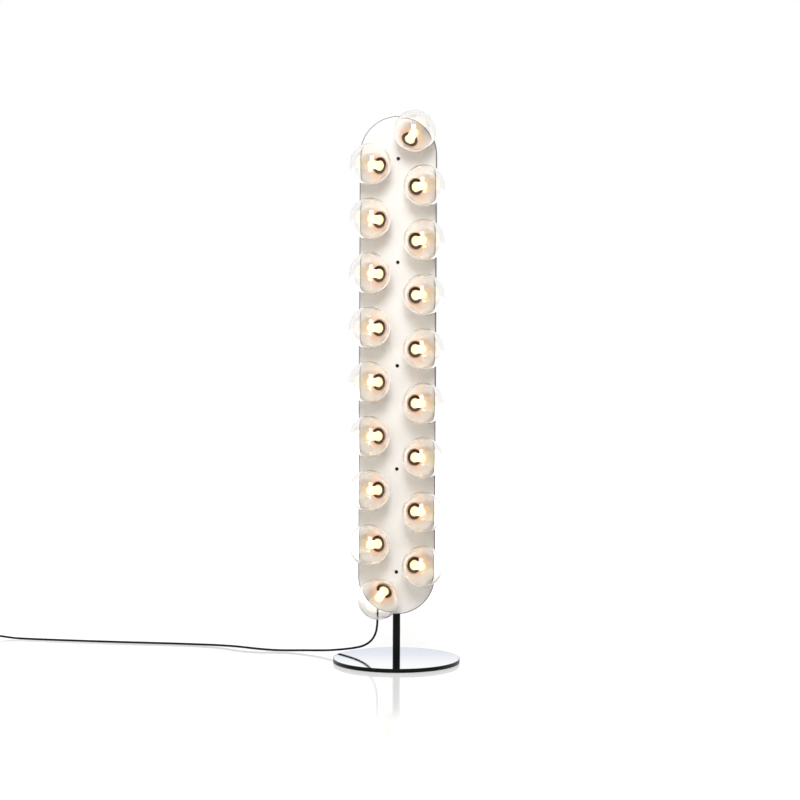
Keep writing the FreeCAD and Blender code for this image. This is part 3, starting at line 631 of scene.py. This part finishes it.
tray_painted_shade_finish = Finish("tray_lacquer_painted_rim_shade")
facing = tray_painted_shade_finish.axis(tray_painted_shade_finish.add("ShaderNodeTexCoord", output="Normal"), "Y") * -1
inward = tray_painted_shade_finish.axis(tray_painted_shade_finish.place(), "Y")
flat = tray_painted_shade_finish.mask(facing, 0.55, 0.995)
side = tray_painted_shade_finish.mask(inward, tray_low.y + rim_r, tray_low.y + 3 * rim_r)
# Painted shade: the lacquer turns near black on the rim's slant close to the front edge.
rim_painted_shade_colour = tray_painted_shade_finish.between((0.06, 0.057, 0.052), (0.885, 0.875, 0.855), flat.at_least(side))
tray_lacquer_painted_rim_shade = sprayed(tray_painted_shade_finish, rim_painted_shade_colour, 0.38, 0.15)

tray = stadium("housing_tray", tray_r, tray_low.y, tray_high.y)
round_loop(tray, tray_low.y, rim_r, rim_steps)
choose(tray, lambda co: abs(co.y - tray_high.y) < tiny)
bpy.ops.mesh.delete(type="ONLY_FACE")
end()
apply(tray, "SOLIDIFY", thickness=sheet, offset=-1)
smooth(tray)
dress(tray, tray_lacquer_painted_rim_shade, "white_lacquer", "front_panel")
print("tray:", len(tray.data.polygons), "faces")

# %% [markdown]
# The rear cover is a flat plate that drops into the tray's back, with a narrow shadow gap around
# it and a fine broken edge.

# %% Rear cover
cover_low, cover_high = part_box("rear_cover")
cover = stadium("housing_cover", (cover_high.x - cover_low.x) / 2, cover_low.y, cover_high.y)
round_loop(cover, cover_high.y, broken_edge, 3)
end()
smooth(cover)
dress(cover, white_lacquer, "white_lacquer", "rear_cover")

# %% [markdown]
# ## The lamps
#
# All eighteen lamps are alike, so we model one about the origin, with its axis along Z and the
# globe's centre at zero, and copy it. Each lamp swings out of the housing's middle line about a
# pivot on it. A column lamp's pivot is as high as the middle of its globe's box. The two end lamps
# swing about the centres of the housing's round ends and lean at an angle of their own.

# %% Lamp places
globe_low, globe_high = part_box("globe_01")
globe_r = (globe_high.z - globe_low.z) / 2
lamp_out = 84.2 * mm
lamp_ahead = 68 * mm
lamp_tilt = math.radians(33)
end_lean = 50
column_count = 8
tilt_out = Vector((math.sin(lamp_tilt), -math.cos(lamp_tilt), 0))
tilt_turn = Vector((0, 0, 1)).rotation_difference(tilt_out).to_matrix().to_4x4()
swing = Matrix.Translation((lamp_out, tray_low.y - lamp_ahead, 0)) @ tilt_turn

lamp_pivots = []
for number in range(1, 2 * column_count + 1):
    low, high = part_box("globe_%02d" % number)
    lamp_pivots.append(((low.z + high.z) / 2, 0 if number <= column_count else 180))
lamp_pivots.append((tray_middle + tray_drop, end_lean))
lamp_pivots.append((tray_middle - tray_drop, end_lean + 180))
lamp_places = [
    Matrix.Translation((0, 0, pivot)) @ Matrix.Rotation(-math.radians(lean), 4, "Y") @ swing
    for pivot, lean in lamp_pivots
]


def copies(piece, material, slot_name, replaced):
    """Put a copy of a lamp piece at each place and join the copies into one group."""
    bpy.ops.object.select_all(action="DESELECT")
    for number, place in enumerate(lamp_places, 1):
        copy = piece.copy()
        copy.data = piece.data.copy()
        bpy.context.scene.collection.objects.link(copy)
        copy.data.transform(place)
        copy.select_set(True)
        bpy.context.view_layer.objects.active = copy
    bpy.ops.object.join()
    group = bpy.context.object
    group.name = piece.name + "_all"
    bpy.data.objects.remove(piece)
    dress(group, material, slot_name, replaced)


# %% [markdown]
# ### The globe
#
# The glass is an even shell, and its front is pressed in a little. Two spheres, one for each
# side of the wall, are cut open at the mouth. The inner one is turned inside out, and the two rims
# are bridged into one closed body. The globe's front mirrors the softbox above the tube, and its
# hollow back mirrors it once more, below the tube.

# %% Globe
front_press = 6.5 * mm
globe_wall = 3 * mm
mouth_flat = 58.1 * mm
mouth_r = 28.3 * mm
ball_turns = 80
ball_rings = 48
cavity_r = globe_r - globe_wall
cavity_mouth = math.sqrt(cavity_r**2 - mouth_r**2)


def open_ball(name, r, cut):
    """A ball with its front half pressed in a little, and without the cap behind a cut."""
    bpy.ops.object.select_all(action="DESELECT")
    bpy.ops.mesh.primitive_uv_sphere_add(
        segments=ball_turns, ring_count=ball_rings, radius=r, location=(0, 0, 0)
    )
    ball = added(name)
    begin(ball)
    choose(ball, lambda co: co.z > tiny)
    bpy.ops.transform.resize(value=(1, 1, 1 - front_press / r), center_override=(0, 0, 0))
    bpy.ops.mesh.select_all(action="SELECT")
    bpy.ops.mesh.bisect(plane_co=(0, 0, cut), plane_no=(0, 0, -1), clear_outer=True)
    return ball


globe = open_ball("globe", globe_r, -mouth_flat)
end()
cavity = open_ball("cavity", cavity_r, -cavity_mouth)
choose(cavity, lambda co: abs(co.z + cavity_mouth) < tiny)
rim_drop = (0, 0, cavity_mouth - mouth_flat)
bpy.ops.mesh.extrude_region_move(TRANSFORM_OT_translate={"value": rim_drop})
bpy.ops.mesh.select_all(action="SELECT")
bpy.ops.mesh.flip_normals()
end()
globe.select_set(True)
cavity.select_set(True)
bpy.context.view_layer.objects.active = globe
bpy.ops.object.join()
begin(globe)
choose(globe, lambda co: abs(co.z + mouth_flat) < tiny)
bpy.ops.mesh.bridge_edge_loops()
end()
smooth(globe)
for number, place in enumerate(lamp_places, 1):
    copy = globe.copy()
    copy.data = globe.data.copy()
    copy.name = "glass_globe_%02d" % number
    bpy.context.scene.collection.objects.link(copy)
    lit = copy.data.uv_layers.new(name="lit")
    for loop, corner in zip(copy.data.loops, lit.uv):
        point = copy.data.vertices[loop.vertex_index].co
        above = (place @ point).z - place.translation.z
        corner.vector = (0.5 + above / (2 * globe_r), 0.5 + point.z / (2 * globe_r))
    copy.data.transform(place)
    dress(copy, clear_glass, "clear_glass", "globe_%02d" % number)
bpy.data.objects.remove(globe)
print("globes:", len(lamp_places), "of radius", round(globe_r, 4))

# %% [markdown]
# ### Holder, ring and tube
#
# The holder is a white cup on a slanted neck, cut off flush where it meets the housing. A dark
# ring lies on its front, and the lit tube comes out of the ring. The holder's profile is spun like
# pottery. The slanted foot is a plane cut, made after the holder has its tilt.

# %% Holder cup
cup_r = 28 * mm
lip_r = cup_r + 1.3 * mm
cup_front = 51.5 * mm
shoulder = 1.6 * mm
neck_r = 16 * mm
neck_start = 72 * mm
neck_end = 104 * mm
bore_r = 13.3 * mm
bore_end = 69 * mm
cup = lathe("holder_cup", [
    (0, -bore_end), (bore_r, -bore_end), (bore_r, -cup_front), (cup_r, -cup_front),
    (cup_r, -mouth_flat), (lip_r, -mouth_flat),
    (lip_r, -mouth_flat - shoulder), (cup_r, -mouth_flat - shoulder),
    (neck_r, -neck_start), (neck_r, -neck_end), (0, -neck_end),
])
soften(cup, 0.4 * mm, 2)
first_place = lamp_places[0]
cup.data.transform(first_place)
begin(cup)
bpy.ops.mesh.select_all(action="SELECT")
bpy.ops.mesh.bisect(
    plane_co=(0, tray_low.y, 0), plane_no=(0, 1, 0), clear_outer=True, use_fill=True
)
end()
cup.data.transform(first_place.inverted())
smooth(cup)
copies(cup, white_lacquer, "white_lacquer", "holder_cups")

# %% Ring
ring_bore_r = 16.6 * mm
ring_r = 25.8 * mm
ring_t = 1.5 * mm
ring = lathe("holder_ring", [
    (ring_bore_r, -cup_front), (ring_r, -cup_front),
    (ring_r, ring_t - cup_front), (ring_bore_r, ring_t - cup_front),
], closed=True)
soften(ring, 0.5 * mm, 3)
smooth(ring)
copies(ring, bronze_ring, "bronze_ring", "holder_rings")

# %% Lit tube
tube_r = 12.6 * mm
tube_tip = -2 * mm
tube_foot = 52 * mm
dome_r = 5 * mm
dome_steps = 8
tube_turns = 48
bpy.ops.object.select_all(action="DESELECT")
bpy.ops.mesh.primitive_cylinder_add(
    vertices=tube_turns, radius=tube_r, depth=tube_tip + tube_foot,
    location=(0, 0, (tube_tip - tube_foot) / 2),
)
tube = added("lamp_tube")
begin(tube)
choose(tube, lambda co: abs(co.z - tube_tip) < tiny)
bpy.ops.mesh.bevel(offset=dome_r, segments=dome_steps, affect="EDGES")
end()
smooth(tube)
copies(tube, lit_opal, "lit_opal", "lamp_tubes")

# %% [markdown]
# ## Finishes for the solids that stay
#
# The other solids have the right shape already. Each gets its finish by name, also those that are
# out of sight in the housing, because the model may be opened.

# %% Finishes by node
kept_finishes = {
    mirror_steel: ["base_mirror_top"],
    black_lacquer: ["base_plate", "pole"],
    pad_rubber: ["base_pad"],
    zinc_steel: [
        "base_bolt", "pole_foot_plug", "holder_nipples", "nipple_nuts", "panel_bushes",
        "rear_bushes", "earth_screw", "switch_screws",
    ],
    spring_steel: ["globe_snap_rings", "switch_spring"],
    cap_brass: ["lamp_caps"],
    socket_white: ["lamp_sockets"],
    black_screw: ["panel_screws", "rear_screws", "terminal_screws"],
    black_plastic: ["pole_top_cap", "gland_nut", "switch_base", "switch_cover", "coil_tie"],
    button_plastic: ["switch_button"],
    black_rubber: ["cord_gland", "inner_lead", "switch_reliefs", "plug_body"],
    wire_black: ["loom_left", "loom_right"],
    wire_earth: ["earth_lead"],
    terminal_white: ["terminal_block", "switch_contact"],
    nickel: ["plug_pins"],
}
for material, names in kept_finishes.items():
    for name in names:
        for slot in nodes[name].material_slots:
            slot.material = material

# %% [markdown]
# ## The cord's finish
#
# Both lengths of cord get the black rubber finish and join the model's root, and the imported
# cords are hidden.

# %% Cord finish
dress(mains_cord, black_rubber, "black_rubber", "cord_free")
dress(cord_coil, black_rubber, "black_rubber", "cord_coil")

# %% [markdown]
# ## The studio
#
# The lamp stands on a white, slightly glossy floor in front of pure white. The camera sees the
# world white. Glass and mirrors see it bright behind the lamp and dark in front of it, which draws
# the thin grey lines at the rims of the globes. The surfaces themselves get only a soft fill, from
# the front on the left and from behind, and one large softbox above the camera throws the shadows.

# %% World
world = bpy.data.worlds.new("studio")
world.use_nodes = True
bpy.context.scene.world = world


def ray_mask(finish, name):
    """A mask for one kind of ray, from its entry in the light path."""
    return finish.add("ShaderNodeLightPath", output=name).at_most(1.0)


fill_from = (-0.32, -0.94, 0.10)
front_fill = 2.3
rear_fill = 2.2
least_fill = 0.03
studio = Finish("studio", world)
toward = studio.add("ShaderNodeTexCoord", output="Generated")
depth = studio.axis(toward, "Y")
ahead = studio.add(
    "ShaderNodeVectorMath", {"operation": "DOT_PRODUCT"}, {0: toward, 1: fill_from}, output=1
)
front = ahead.at_least(0.0)
rear = depth.at_least(0.0)
lobe = front * front
fill = lobe * lobe * front_fill + rear * rear * rear * rear * rear_fill + least_fill
camera_ray = ray_mask(studio, "Is Camera Ray")
scattered = ray_mask(studio, "Diffuse Depth")
reflected = ray_mask(studio, "Glossy Depth")
mirrored_sky = studio.mask(depth, -0.1, 0.35, 0.12, 1.0)
bent_sky = studio.mask(depth, 0.2, 0.95, 0.1, 1.0)
clear = reflected * mirrored_sky + (1 - reflected) * bent_sky
strength = camera_ray + (1 - camera_ray) * (scattered * fill + (1 - scattered) * clear)
sky_colour = studio.between((1, 1, 1), (1, 0.94, 0.87), scattered)
sky = studio.add("ShaderNodeBackground", {}, {"Color": sky_colour, "Strength": strength})
studio.add("ShaderNodeOutputWorld", {}, {"Surface": sky})

# %% Softbox


def softbox(name, place, target, width, height, power, tint):
    """A rectangular area lamp that looks at a target."""
    data = bpy.data.lights.new(name, "AREA")
    data.shape = "RECTANGLE"
    data.size, data.size_y = width, height
    data.energy = power
    data.color = tint
    lamp = bpy.data.objects.new(name, data)
    bpy.context.scene.collection.objects.link(lamp)
    turn = (Vector(place) - Vector(target)).to_track_quat("Z", "Y").to_matrix().to_4x4()
    lamp.matrix_world = Matrix.Translation(place) @ turn


softbox("key_light", (0.05, -4.4, 3.7), (0, 0, 1.0), 1.75, 2.0, 142, (0.93, 0.98, 1.0))

# %% [markdown]
# The floor is white and a little glossy. A glow of its own keeps it as white as the backdrop, more
# so with the distance. Bent and mirrored rays see little of that glow in front of the lamp, and
# scattered rays see none of it, so it throws no light on the lamp.

# %% Floor
floor_finish = Finish("studio_floor")
floor_size = 60
camera_ray = ray_mask(floor_finish, "Is Camera Ray")
scattered = ray_mask(floor_finish, "Diffuse Depth")
behind = floor_finish.mask(floor_finish.axis(floor_finish.place(), "Y"), 0.0, 1.5, 0.1, 1.0)
ray = camera_ray + (1 - camera_ray) * ((1 - scattered) * behind)
lit = floor_finish.add("ShaderNodeBsdfPrincipled", {}, {
    "Base Color": (0.86, 0.86, 0.86, 1), "Roughness": 0.1, "Specular IOR Level": 0.8,
})
away = floor_finish.add(
    "ShaderNodeVectorMath", {"operation": "LENGTH"}, {0: floor_finish.place()}, output=1
)
far = floor_finish.mask(away, 0.5, 3.0, 0.4, 0.92)
lift = floor_finish.add("ShaderNodeEmission", {}, {"Color": (1, 1, 1, 1), "Strength": ray * far})
floor_white = floor_finish.surface(floor_finish.add("ShaderNodeAddShader", {}, {0: lit, 1: lift}))
bpy.ops.object.select_all(action="DESELECT")
bpy.ops.mesh.primitive_plane_add(size=floor_size, location=(0, 0, 0))
floor = added("studio_floor")
floor.data.materials.append(floor_white)
